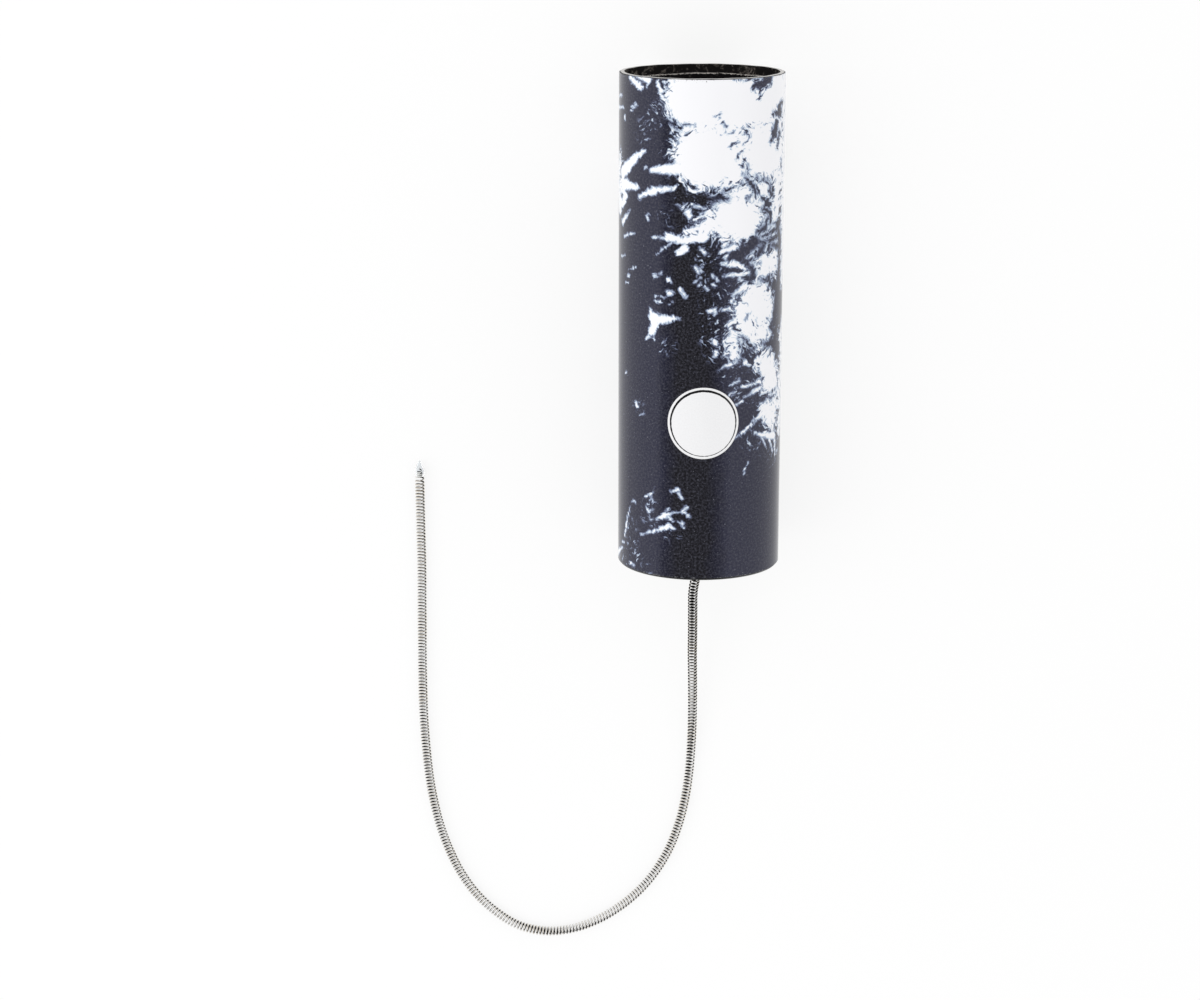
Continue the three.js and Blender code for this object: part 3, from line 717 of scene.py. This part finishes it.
dyeRuns = [
    (20.4, 98.6, 1, 25, 98.8, 2.7, 29.4, 99.8, 2.2), (24.2, 96.8, 1.4, 23.4, 93.2, 0.7),
    (22.4, 95.4, 0.5, 20.4, 96.6, 0.4), (12.4, 100.9, 0.35, 18, 100.6, 0.45),
    (-16, 84.8, 0.9, -12.6, 84, 0.9, -9.8, 82.4, 1), (-13.2, 85.8, 0.35, -11, 84, 0.5),
    (-8.6, 83.7, 0.2, -4.4, 83.6, 0.35), (-17.6, 77.6, 1.3, -15.2, 75.4, 0.6),
    (-19, 69.2, 0.6, -12.4, 69, 0.55), (4.6, 87.2, 0.15, 6.4, 88, 0.2), (6.8, 85, 0.2, 8.6, 82.8, 0.25),
    (32.6, 86.4, 1, 38.6, 86.6, 2.5), (35.4, 88.8, 0.6, 41, 90, 1.4),
    (35.4, 82.4, 1.8, 33.6, 79, 2.4, 31.2, 75.4, 0.9), (38.4, 78, 1.5, 36, 72.6, 0.8),
    (41, 67, 0.8, 40.8, 64, 0.5), (10.6, 75.2, 0.25, 13.6, 76.2, 0.5), (16, 72.8, 0.25, 12.8, 70, 0.4),
    (16.6, 69.6, 0.5, 15.4, 66.2, 0.4), (18.5, 67.2, 0.45, 18, 63.6, 0.45), (15.4, 65.2, 0.3, 18, 61.4, 0.6),
    (18, 61, 0.6, 20.6, 58.8, 1), (20.6, 58.8, 1.1, 23.2, 55.8, 1.4), (22.3, 63.5, 0.35, 23.4, 61.6, 0.7),
    (26.6, 61, 0.5, 24, 60, 0.4), (25.6, 53.8, 1, 29.8, 50.6, 2.3),
    (30.6, 58, 0.5, 31, 55, 0.9, 33.2, 54, 0.9), (27, 49.4, 1.6, 31.4, 46.6, 1.2),
    (31.4, 46.6, 1.1, 31.8, 43, 1), (29.8, 44.8, 0.5, 28, 41.4, 1.1, 23.6, 40.4, 1),
    (33.4, 42.7, 0.6, 40, 42.2, 1.4), (30.8, 39.3, 0.5, 38.4, 40.3, 1.3), (26.6, 38.3, 0.6, 31, 38.7, 0.6),
    (25.4, 36.2, 0.7, 37, 36.4, 1.5), (32.6, 34, 0.5, 41, 32.6, 1.8), (27.4, 34.8, 0.8, 24, 30.8, 1.1),
    (39, 39, 1.6, 41, 34, 2.2), (16.2, 37, 1, 16, 31.4, 1.5), (18.6, 33, 1.8, 21.6, 36.8, 2.5),
    (17, 29.2, 0.8, 21.4, 29.4, 0.8), (19, 27.8, 0.8, 21.6, 25, 1.5, 21, 22.2, 1.4),
    (17.8, 21.8, 0.9, 20.4, 21.6, 1), (23.4, 27.6, 0.25, 25.6, 27.6, 0.35),
    (25.4, 20.8, 0.5, 31.2, 20.3, 0.8), (40, 30, 0.8, 40, 12, 2.4), (37.6, 13, 1.2, 36, 5.2, 1.7),
    (34.8, 3.6, 0.7, 32.8, 0.4, 1.3, 36.6, -2, 0.8), (34, -3.6, 0.7, 31.6, -6, 1.2, 26.6, -5, 0.6),
    (35, -6.8, 1.4, 40.4, -10, 2.6), (23, -6.2, 0.6, 16.6, -9.2, 0.9), (16.6, -1.2, 0.6, 20.6, -5.2, 0.9),
    (14.5, -2, 0.4, 15.6, -5.6, 0.5), (18, 5.4, 0.35, 19.4, 7.6, 0.4), (24, -28.5, 0.5, 28.6, -28.2, 1.4),
    (22, -27, 0.35, 25, -26.6, 0.5), (33, -28.8, 0.4, 38.6, -28, 0.6), (34, -26.4, 0.25, 38, -25.6, 0.4),
    (22.4, -36.9, 0.5, 26.4, -37.4, 1.1), (0, 54.6, 0.7, 9.6, 54.4, 0.7), (3, 52.6, 0.6, 6.8, 55.8, 0.9),
    (8, 57.4, 0.4, 14.6, 59.4, 0.25), (-43.8, 52.4, 0.8, -43, 52, 0.8), (-43, 46.9, 1, -38.6, 47, 0.8),
    (-70, 68, 0.8, -76, 60, 1.4), (-98, 90, 1, -104, 82, 1.4), (-118, -38, 1, -121, -46, 1.2),
    (-133, 38, 1, -136, 30, 1.2), (-64, 76, 0.5, -60, 70, 1), (-106, -6, 0.6, -110, -10, 1),
    (62, 76, 0.7, 65, 68, 1.2), (-90, 18, 0.6, -96, 16, 1),
]

brokenZones = [
    (-9, 53, 2, -2, 48, 4), (1, 31, 4, 6, 14, 6), (12, 20, 3, 8, 4, 3), (4, 10, 5, 6, -6, 5),
    (-44, -96, 3, -24, -100, 2), (7, -8, 3, 18, -24, 5), (-22, -72, 3, -23, -78, 3),
    (-13, -83, 2, -10, -82, 1.5), (-33, -84, 3, -32, -97, 5), (33, -47, 4, 38, -52, 4),
    (-17, -5, 2.5, -15, -5.5, 2.5), (-20, 88, 3, -27, 79, 4), (-17, 48, 1.5, -15, 45.5, 1.5),
    (-32, -30, 1.5, -28, -32, 2), (24, -48, 3, 20, -44, 3), (-76, 8, 5, -90, -6, 6),
    (-110, 60, 5, -124, 66, 6), (-100, -56, 5, -86, -74, 6), (60, 50, 4, 62, -6, 4),
]


# A sheet carried round the axis as a spiral that lifts over its own start. Its two ends waver by sines.
def buildWrap():
    steps, rows = wrap["turnSteps"], wrap["rows"]
    thickness, lift = millimetre * wrap["thickness"], millimetre * wrap["lapLift"]
    turned = np.linspace(0, 360 + wrap["lap"], steps)[:, None]
    over = np.clip((turned - 359) / 2.5, 0, 1)
    over = over * over * (3 - 2 * over)
    angle = np.radians(wrap["lapAngle"] - turned)
    outer = wrapRadius + lift * over
    wave = np.sin(4 * angle) + np.sin(9 * angle + 1) + 0.8 * np.sin(23 * angle) + 0.5 * np.sin(61 * angle)
    wave = wave / 13.2
    high = wrapHigh.y - millimetre * wrap["edgeWave"] * (0.5 + wave)
    low = wrapLow.y + millimetre * wrap["edgeWave"] * (0.5 - np.roll(wave, 40))
    outside = low + (high - low) * np.linspace(0, 1, rows)[None, :]
    along = np.concatenate([outside, outside[:, ::-1]], axis=1)
    radius = np.concatenate([np.repeat(outer, rows, 1), np.repeat(outer - thickness, rows, 1)], axis=1)
    sheet = np.stack([np.broadcast_to(wrapRadius * angle / millimetre, along.shape), along / millimetre], -1)
    points, faces = axisPoints(radius, along, angle), gridFaces(steps, 2 * rows, False, True)
    return meshPiece("wrap_sheet", points, faces, endCaps(steps, 2 * rows), sheet, sharpAngle=40)


# Distance to a stroke whose half width grows evenly: the place along it is held between its two ends
def strokeGroup():
    group = bpy.data.node_groups.new("dye stroke", "ShaderNodeTree")
    for name, kind in (
        ("Place", "Vector"), ("Start", "Vector"), ("Run", "Vector"), ("Share", "Vector"),
        ("Width", "Float"), ("Growth", "Float"),
    ):
        group.interface.new_socket(name, in_out="INPUT", socket_type="NodeSocket" + kind)
    group.interface.new_socket("Distance", in_out="OUTPUT", socket_type="NodeSocketFloat")
    given = group.nodes.new("NodeGroupInput").outputs
    add = partial(addNode, group)
    offset = add("VectorMath", [given["Place"], given["Start"]], operation="SUBTRACT")
    along = add("VectorMath", [offset, given["Share"]], operation="DOT_PRODUCT")
    held = add("Clamp", [along])
    nearest = add("VectorMath", [given["Run"], held], operation="SCALE")
    gap = add("VectorMath", [offset, nearest], operation="DISTANCE")
    half = add("Math", [held, given["Growth"], given["Width"]], operation="MULTIPLY_ADD")
    setInputs(group.nodes.new("NodeGroupOutput"), [add("Math", [gap, half], operation="SUBTRACT")])
    return group


# Dye beside strokes, from 0 on bare paper to 1 where it is full. It comes from the least distance to any of
# them, rounded where they meet and pushed in and out by the feathers.
def dyeBeside(add, group, place, strokes, feather, edge):
    rounding, feathered, bare, full = edge
    least = None
    for stroke in strokes:
        places = np.array(stroke, float).reshape(-1, 3)
        for (x0, y0, w0), (x1, y1, w1) in zip(places, places[1:]):
            run = np.array([x1 - x0, y1 - y0, 0.0])
            gap = add("Group", node_tree=group)
            setInputs(gap, [place, (x0, y0, 0.0), run, run / (run @ run), w0, w1 - w0])
            least = add("Math", [least, gap, rounding], operation="SMOOTH_MIN") if least else gap
    ragged = add("Math", [feather, feathered, least], operation="MULTIPLY_ADD")
    return add("MapRange", [ragged, bare, full])


# Gloss-laminated print: near-black dye that feathers into white through slate and pale blue, under gloss
def wrapMaterial():
    material, add, surface = newMaterial("gloss laminated print")
    sheet = add("UVMap", uv_map="sheet")
    group = strokeGroup()

    # places pushed about by soft noise, so that no stroke keeps a drawn outline
    places = [sheet]
    for size, push, inputs in (wrap["ragged"], wrap["wander"]):
        noise = add("TexNoise", {"Vector": sheet, "Scale": 1 / size, **inputs}).outputs["Color"]
        centred = add("VectorMath", [noise, (0.5, 0.5, 0.5)], operation="SUBTRACT")
        places.append(add("VectorMath", [centred, (push, push, 0), places[-1]], operation="MULTIPLY_ADD"))
    finePlace, widePlace = places[1:]

    # feathers: two grains crossing at the angles of the folds, each drawn out along its own way
    grains = []
    for turn, seed in wrap["grainTurns"]:
        turned = {"Vector": widePlace, "Rotation": (0, 0, math.radians(turn)), "Location": (seed, seed, 0)}
        drawn = add("VectorMath", [add("Mapping", turned), (*wrap["feather"], 1)], operation="DIVIDE")
        grains.append(add("TexNoise", {"Vector": drawn, "Scale": 1.0, "Detail": 4.0, "Roughness": 0.62}))
    either = add("TexNoise", {"Vector": sheet, "Scale": 1 / wrap["grainPatch"], "Detail": 2.0})
    feather = add("Mix", [add("MapRange", [either, 0.4, 0.6]), *grains])
    feather = add("Math", [feather, 0.5], operation="SUBTRACT")

    fields = dyeBeside(add, group, widePlace, undyedFields, feather, wrap["fieldEdge"])
    creases = dyeBeside(add, group, finePlace, whiteCreases, feather, wrap["creaseEdge"])
    runs = dyeBeside(add, group, finePlace, dyeRuns, feather, wrap["runEdge"])
    zones = dyeBeside(add, group, widePlace, brokenZones, feather, wrap["zoneEdge"])
    veins = add("MapRange", [feather, 0.03, 0.15, 1.0, 0.2])
    broken = add("Math", [zones, veins], operation="MAXIMUM")
    dye = add("Math", [fields, creases], operation="MINIMUM")
    dye = add("Math", [dye, broken], operation="MINIMUM")
    dye = add("Math", [dye, runs], operation="MAXIMUM")

    # full dye is black along the top and blue-black towards the flanks, where the blue is a painted
    # reflection of the gloss's bluish sheen; the paler worn specks and long hairlines are the print's own
    across = add("SeparateXYZ", [widePlace]).outputs["X"]
    flankSheen = add("Math", [across, wrap["sheenFreeLine"]], operation="SUBTRACT")
    flankSheen = add("MapRange", [add("Math", [flankSheen], operation="ABSOLUTE"), *wrap["paintedSheenReach"]])
    ink = add("Mix", [flankSheen, wrap["inkColour"], wrap["paintedFlankSheen"]], data_type="RGBA")
    mottle = add("TexNoise", {"Vector": sheet, "Scale": 1 / wrap["mottle"], "Detail": 6.0, "Roughness": 0.75})
    hair = add("VectorMath", [sheet, (*wrap["hairline"], 1)], operation="DIVIDE")
    hair = add("TexNoise", {"Vector": hair, "Scale": 1.0, "Detail": 3.0, "Roughness": 0.7})
    hair = add("MapRange", [hair, 0.62, 0.75, 0.0, 0.6])
    worn = add("Math", [add("MapRange", [mottle, 0.46, 0.7]), hair], operation="MAXIMUM")
    ink = add("Mix", [worn, ink, wrap["wornColour"]], data_type="RGBA")
    salt = add("TexNoise", {"Vector": sheet, "Scale": 1 / wrap["salt"], "Detail": 2.0, "Roughness": 0.5})
    ink = add("Mix", [add("MapRange", [salt, 0.69, 0.77]), ink, wrap["saltColour"]], data_type="RGBA")
    tone = add("ValToRGB", [dye], stops=[
        (0.0, wrap["paperColour"]), (0.16, wrap["ghostColour"]), (0.36, wrap["paleColour"]),
        (0.58, wrap["tintColour"]), (0.85, wrap["slateColour"]),
    ])
    colour = add("Mix", [add("MapRange", [dye, 0.55, 1.0]), tone, ink], data_type="RGBA")

    # ink flakes off in chips along the sheet's two cut ends
    along = add("SeparateXYZ", [sheet]).outputs["Y"]
    middleY = (wrapHigh.y + wrapLow.y) / 2 / millimetre
    halfLength = (wrapHigh.y - wrapLow.y) / 2 / millimetre
    fromMiddle = add("Math", [along, middleY], operation="SUBTRACT")
    fromMiddle = add("Math", [fromMiddle], operation="ABSOLUTE")
    chip = add("TexNoise", {"Vector": sheet, "Scale": 1 / wrap["chip"], "Detail": 4.0, "Roughness": 0.7})
    inkEnd = add("MapRange", [chip, 0.56, 0.76, halfLength, halfLength - wrap["chipReach"]])
    flaked = add("Math", [fromMiddle, inkEnd], operation="GREATER_THAN")

    ripple = add("VectorMath", [sheet, (*wrap["ripple"], 1)], operation="DIVIDE")
    ripple = add("TexNoise", {"Vector": ripple, "Scale": 1.0, "Detail": 3.0, "Roughness": 0.5})
    setInputs(surface, {
        "Base Color": add("Mix", [flaked, colour, wrap["rawEdgeColour"]], data_type="RGBA"),
        "Roughness": wrap["gloss"],
        "Specular IOR Level": wrap["sheen"],
        "Normal": add("Bump", {"Height": ripple, "Distance": 0.05 * millimetre, "Strength": 0.5}),
    })
    return material


finishPiece(buildWrap(), wrapMaterial(), "drum", "printed_sheet", "printed_wrap")
print("stage: printed wrap")


# Head: black film drawn flat over the tube's end, its skirt under the wrap, with a stiff patch at its middle
head = {
    "film": 0.25,
    "corner": 1.0,
    "skirt": 8.0,
    "hole": 2.8,
    "turnSteps": 320,
    "patch": 20.0,
    "washer": 12.0,
    "roundEdge": 0.2,  # of the patch and the washer
    "filmColour": "#101012",
    "filmWorn": "#232327",
    "filmGrain": 0.5,
    "filmCloud": 9.0,
    "patchColour": "#1a1a1c",
    "patchWorn": "#2a2a2d",
    "patchGrain": 0.35,
    "zincDull": "#a9abae",
    "zincBright": "#c6c8cb",
    "zincCloud": 1.2,
}


# Film as a closed profile: flat face, bent edge and skirt outside, and the same a film's thickness in
def buildHead():
    film, corner = millimetre * head["film"], millimetre * head["corner"]
    hole, outside = millimetre * head["hole"] / 2, boardRadius
    skirt = headY + millimetre * head["skirt"]
    bend = (outside - corner, headY + corner)
    profile = np.vstack([
        [[hole, headY]],
        arcProfile(bend, corner, -90, 0),
        [[outside, skirt], [outside - film, skirt]],
        arcProfile(bend, corner - film, 0, -90),
        [[hole, headY + film]],
    ])
    return turnedPiece("head_film", profile, head["turnSteps"])


# Black polyester film: hard satin, clouded by fine strain marks
def filmMaterial():
    material, add, surface = newMaterial("black polyester film")
    place = add("TexCoord").outputs["Object"]
    cloud = add("TexNoise", {"Vector": place, "Scale": 1 / (millimetre * head["filmCloud"]), "Detail": 4.0})
    film = [(0.4, head["filmColour"]), (0.8, head["filmWorn"])]
    setInputs(surface, {
        "Base Color": cloudedColour(add, place, head["filmGrain"], {"Detail": 2.0}, film)[1],
        "Roughness": add("MapRange", [cloud, 0.3, 0.7, 0.26, 0.42]),
        "IOR": 1.6,
        "Normal": add("Bump", {"Height": cloud, "Distance": 0.2 * millimetre, "Strength": 0.25}),
    })
    return material


# Stiff black sheet: matt and finely grained, so that it reads apart from the film
def patchMaterial():
    material, add, surface = newMaterial("grained black sheet")
    place = add("TexCoord").outputs["Object"]
    grain = add("TexVoronoi", {"Vector": place, "Scale": 1 / (millimetre * head["patchGrain"])})
    setInputs(surface, {
        "Base Color": add("ValToRGB", [grain], stops=[(0.1, head["patchColour"]), (0.7, head["patchWorn"])]),
        "Roughness": 0.6,
        "Normal": add("Bump", {"Height": grain, "Distance": 0.05 * millimetre, "Strength": 0.6}),
    })
    return material


# Zinc-plated steel: grey metal, softly bright, with a faint crystalline cloud
def zincMaterial():
    material, add, surface = newMaterial("zinc plated steel")
    place = add("TexCoord").outputs["Object"]
    zinc = [(0.35, head["zincDull"]), (0.65, head["zincBright"])]
    cloud, tone = cloudedColour(add, place, head["zincCloud"], {"Detail": 5.0, "Roughness": 0.6}, zinc)
    rub = add("MapRange", [cloud, 0.3, 0.7, 0.24, 0.4])
    setInputs(surface, {"Base Color": tone, "Metallic": 1.0, "Roughness": rub})
    return material


# A flat ring between two places on the axis, with one of its outer edges rounded
def buildDisc(name, diameter, low, high, roundedEnd, steps):
    hole, outside, edge = millimetre * np.array([head["hole"] / 2, diameter / 2, head["roundEdge"]])
    if roundedEnd == "low":
        corner = arcProfile((outside - edge, low + edge), edge, -90, 0, 4)
        profile = np.vstack([[[hole, low]], corner, [[outside, high], [hole, high]]])
    else:
        corner = arcProfile((outside - edge, high - edge), edge, 0, 90, 4)
        profile = np.vstack([[[hole, low], [outside, low]], corner, [[hole, high]]])
    return turnedPiece(name, profile, steps)


# Split pin: one wire bent to an eye outside the head, its legs opened flat over the washer inside
pin = {
    "wire": 0.9,
    "eye": 2.0,
    "legGap": 0.1,
    "bend": 1.0,
    "legInset": 1.0,
    "seat": 0.3,
    "steps": 12,
    "sides": 16,
}


# Half the wire's line is a leg, an arc, a shank and half the eye. It is mirrored and smoothed, and its
# section is round.
def buildPin():
    wire, eye, bend = [millimetre * pin[name] for name in ("wire", "eye", "bend")]
    shankX = (wire + millimetre * pin["legGap"]) / 2
    legY = washerHigh.y + millimetre * pin["seat"] + wire / 2
    eyeY = pinLow.y + wire / 2 + eye
    eyeEnd = eyeY + eye + wire / 2
    legTip = millimetre * (head["washer"] / 2 - pin["legInset"])
    half = np.vstack([
        [[legTip, legY]],
        arcProfile((shankX + bend, legY - bend), bend, 90, 180, 4),
        [[shankX, (eyeEnd + legY - bend) / 2], [shankX, eyeEnd]],
        arcProfile((0, eyeY), eye, 50, -90, 9),
    ])
    whole = np.vstack([half, (half * [-1, 1])[-2::-1]])
    path = curveThrough(np.column_stack([whole, np.full(len(whole), axisHeight)]), pin["steps"])
    outward = np.broadcast_to([0, 0, 1.0], path.shape)
    return wirePiece("split_pin", path, outward, wire / 2, pin["sides"])


zinc = zincMaterial()
patchDisc = buildDisc("middle_patch", head["patch"], patchLow.y, patchHigh.y, "low", 160)
washerDisc = buildDisc("inside_washer", head["washer"], washerLow.y, washerHigh.y, "high", 120)
finishPiece(buildHead(), filmMaterial(), "drum", "head_film", "drum_head")
finishPiece(patchDisc, patchMaterial(), "drum", "patch", "head_patch")
finishPiece(washerDisc, zinc, "drum", "washer_steel", "anchor_washer")
finishPiece(buildPin(), zinc, "pin", "pin_steel", "anchor_pin")
print("stage: head, patch, washer and pin")


# Label: round coated paper stuck on the wrap, plain white inside a thin dark ring
label = {
    "diameter": 29.3,
    "fromHead": 65.6,
    "offset": 0.5,
    "underside": 0.02,  # its two faces' heights over the wrap
    "topside": 0.25,
    "columns": 144,
    "ringRadius": 13.4,
    "ringWidth": 0.62,
    "ringWear": 0.3,
    "ringShift": (0.05, -0.1),  # the ring is printed slightly off centre
    "ringLean": (-0.003, 0.012),  # it is heavier on its upper left, and runs out below
    "inkPatch": 1.111,
    "fibre": 0.625,
    "paperColour": "#f7f7f8",
    "shadeColour": "#f0f0f2",
    "ringColour": "#161618",
}


# A disc of polar rows bent onto the wrap: x = r cos t becomes an arc's length and y = r sin t stays
def buildLabel():
    columns, radius, pole = label["columns"], label["diameter"] / 2, 0.01
    top, under = label["topside"], label["underside"]
    rows = np.array([
        [pole, top], [radius * 0.35, top], [radius * 0.7, top], [radius - 0.1, top], [radius, top - 0.08],
        [radius, under], [radius * 0.5, under], [pole, under],
    ])
    angle = roundAngles(columns)[None, :]
    across, along = rows[:, :1] * np.cos(angle), rows[:, :1] * np.sin(angle)
    height = wrapRadius + millimetre * rows[:, 1:]
    bend = millimetre * (across + label["offset"]) / wrapRadius
    middleY = headY + millimetre * label["fromHead"]
    points = axisPoints(height, middleY + millimetre * along, bend)
    faces, caps = gridFaces(len(rows), columns, False, True), endCaps(len(rows), columns)
    return meshPiece("label_disc", points, faces, caps, np.stack([across, along], -1))


# Coated label paper: smooth low gloss, white with a thin dark printed ring
def labelMaterial():
    material, add, surface = newMaterial("coated label paper")
    sheet = add("UVMap", uv_map="sheet")
    shifted = add("VectorMath", [sheet, (*label["ringShift"], 0)], operation="SUBTRACT")
    radius = add("VectorMath", [shifted], operation="LENGTH")
    off = add("Math", [radius, label["ringRadius"]], operation="SUBTRACT")
    off = add("Math", [off], operation="ABSOLUTE")
    lean = add("VectorMath", [sheet, (*label["ringLean"], 0)], operation="DOT_PRODUCT")
    half = add("Math", [lean, (label["ringWidth"] - label["ringWear"]) / 2], operation="ADD")
    patchy = add("TexNoise", {"Vector": sheet, "Scale": 1 / label["inkPatch"], "Detail": 3.0})
    half = add("Math", [patchy, label["ringWear"], half], operation="MULTIPLY_ADD")
    ring = add("MapRange", [add("Math", [off, half], operation="SUBTRACT"), 0.05, -0.05])
    fibre = add("TexNoise", {"Vector": sheet, "Scale": 1 / label["fibre"], "Detail": 4.0, "Roughness": 0.7})
    paper = add("ValToRGB", [fibre], stops=[(0.3, label["shadeColour"]), (0.6, label["paperColour"])])
    setInputs(surface, {
        "Base Color": add("Mix", [ring, paper, label["ringColour"]], data_type="RGBA"),
        "Roughness": 0.32,
        "Normal": add("Bump", {"Height": fibre, "Distance": 0.02 * millimetre, "Strength": 0.3}),
    })
    return material


finishPiece(buildLabel(), labelMaterial(), "drum", "label", "round_label")
print("stage: label")


# 1 for rays from the camera, a glossy surface or a clear one, which all see the white background
def seenRays(add):
    rays = add("LightPath").outputs
    seen = add("Math", [rays["Is Camera Ray"], rays["Is Glossy Ray"]], operation="MAXIMUM")
    return add("Math", [seen, rays["Is Transmission Ray"]], operation="MAXIMUM")


# White paper sweep, on which the camera sees only a share of the shading
def floorMaterial():
    material, add, surface = newMaterial("white paper sweep", "MixShader")
    share = add("Math", [seenRays(add), 1 - studio["shadowKept"]], operation="MULTIPLY")
    shaded = add("BsdfDiffuse", {"Color": studio["white"]})
    white = add("Emission", {"Color": studio["white"], "Strength": 1.0})
    setInputs(surface, [share, shaded, white])
    return material


# Black card that fades out towards its left and right, so that it leaves no hard edge in the gloss
def fadedCardMaterial(left, right):
    material, add, surface = newMaterial("black card", "MixShader")
    across = add("SeparateXYZ", [add("TexCoord").outputs["Object"]]).outputs["X"]
    fades = [add("MapRange", [across, *side]) for side in (left, right)]
    solid = add("Math", fades, operation="MULTIPLY")
    setInputs(surface, [solid, add("BsdfTransparent"), add("BsdfDiffuse", {"Color": studio["cardColour"]})])
    return material


def plainCardMaterial():
    material, _, surface = newMaterial("plain black card", "BsdfDiffuse")
    setInputs(surface, {"Color": studio["cardColour"]})
    return material


# A flat sheet of the studio from its four corners
def studioSheet(name, corners, material):
    sheet = meshPiece(name, np.array(corners), np.array([[0, 1, 2, 3]]))
    sheet.data.materials.append(material)
    return sheet


# White floor, and two black cards that only the object's gloss sees
def buildSheets():
    half, low = millimetre * studio["floorSize"] / 2, -millimetre * studio["floorDrop"]
    corners = [[-half, -half, low], [half, -half, low], [half, half, low], [-half, half, low]]
    floor = studioSheet("floor", corners, floorMaterial())
    left, right = millimetre * np.array(studio["cardLeft"]), millimetre * np.array(studio["cardRight"])
    near, far = millimetre * np.array(studio["cardAlong"])
    height = millimetre * studio["cardHeight"]
    corners = [[left[0], far, height], [right[0], far, height], [right[0], near, height]]
    corners.append([left[0], near, height])
    over = studioSheet("black_card", corners, fadedCardMaterial(left, right))
    front, bottom, top = millimetre * np.array(studio["frontCard"])
    left, right = millimetre * np.array(studio["frontCardAcross"])
    corners = [[left, front, bottom], [right, front, bottom], [right, front, top], [left, front, top]]
    standing = studioSheet("front_card", corners, plainCardMaterial())
    for card in (over, standing):
        card.visible_camera = card.visible_diffuse = card.visible_shadow = card.visible_transmission = False


# White surroundings, a little darker for the rays that only light the object, and one soft lamp
def buildLight():
    scene = bpy.context.scene
    scene.view_settings.view_transform = "Standard"
    scene.world = bpy.data.worlds.new("studio")
    scene.world.use_nodes = True
    add = partial(addNode, scene.world.node_tree)
    level = add("MapRange", [seenRays(add), 0.0, 1.0, studio["worldLevel"], 1.0])
    setInputs(scene.world.node_tree.nodes["Background"], {"Color": studio["white"], "Strength": level})
    lamp = bpy.data.lights.new("soft lamp", "AREA")
    lamp.size = millimetre * studio["lampSize"]
    lamp.energy = studio["lampPower"]
    lampObject = bpy.data.objects.new("soft_lamp", lamp)
    lampObject.location = [millimetre * c for c in studio["lampAt"]]
    lampObject.rotation_euler = (0, math.radians(studio["lampTilt"]), 0)
    lampObject.visible_glossy = False
    scene.collection.objects.link(lampObject)


buildSheets()
buildLight()
print("stage: studio")
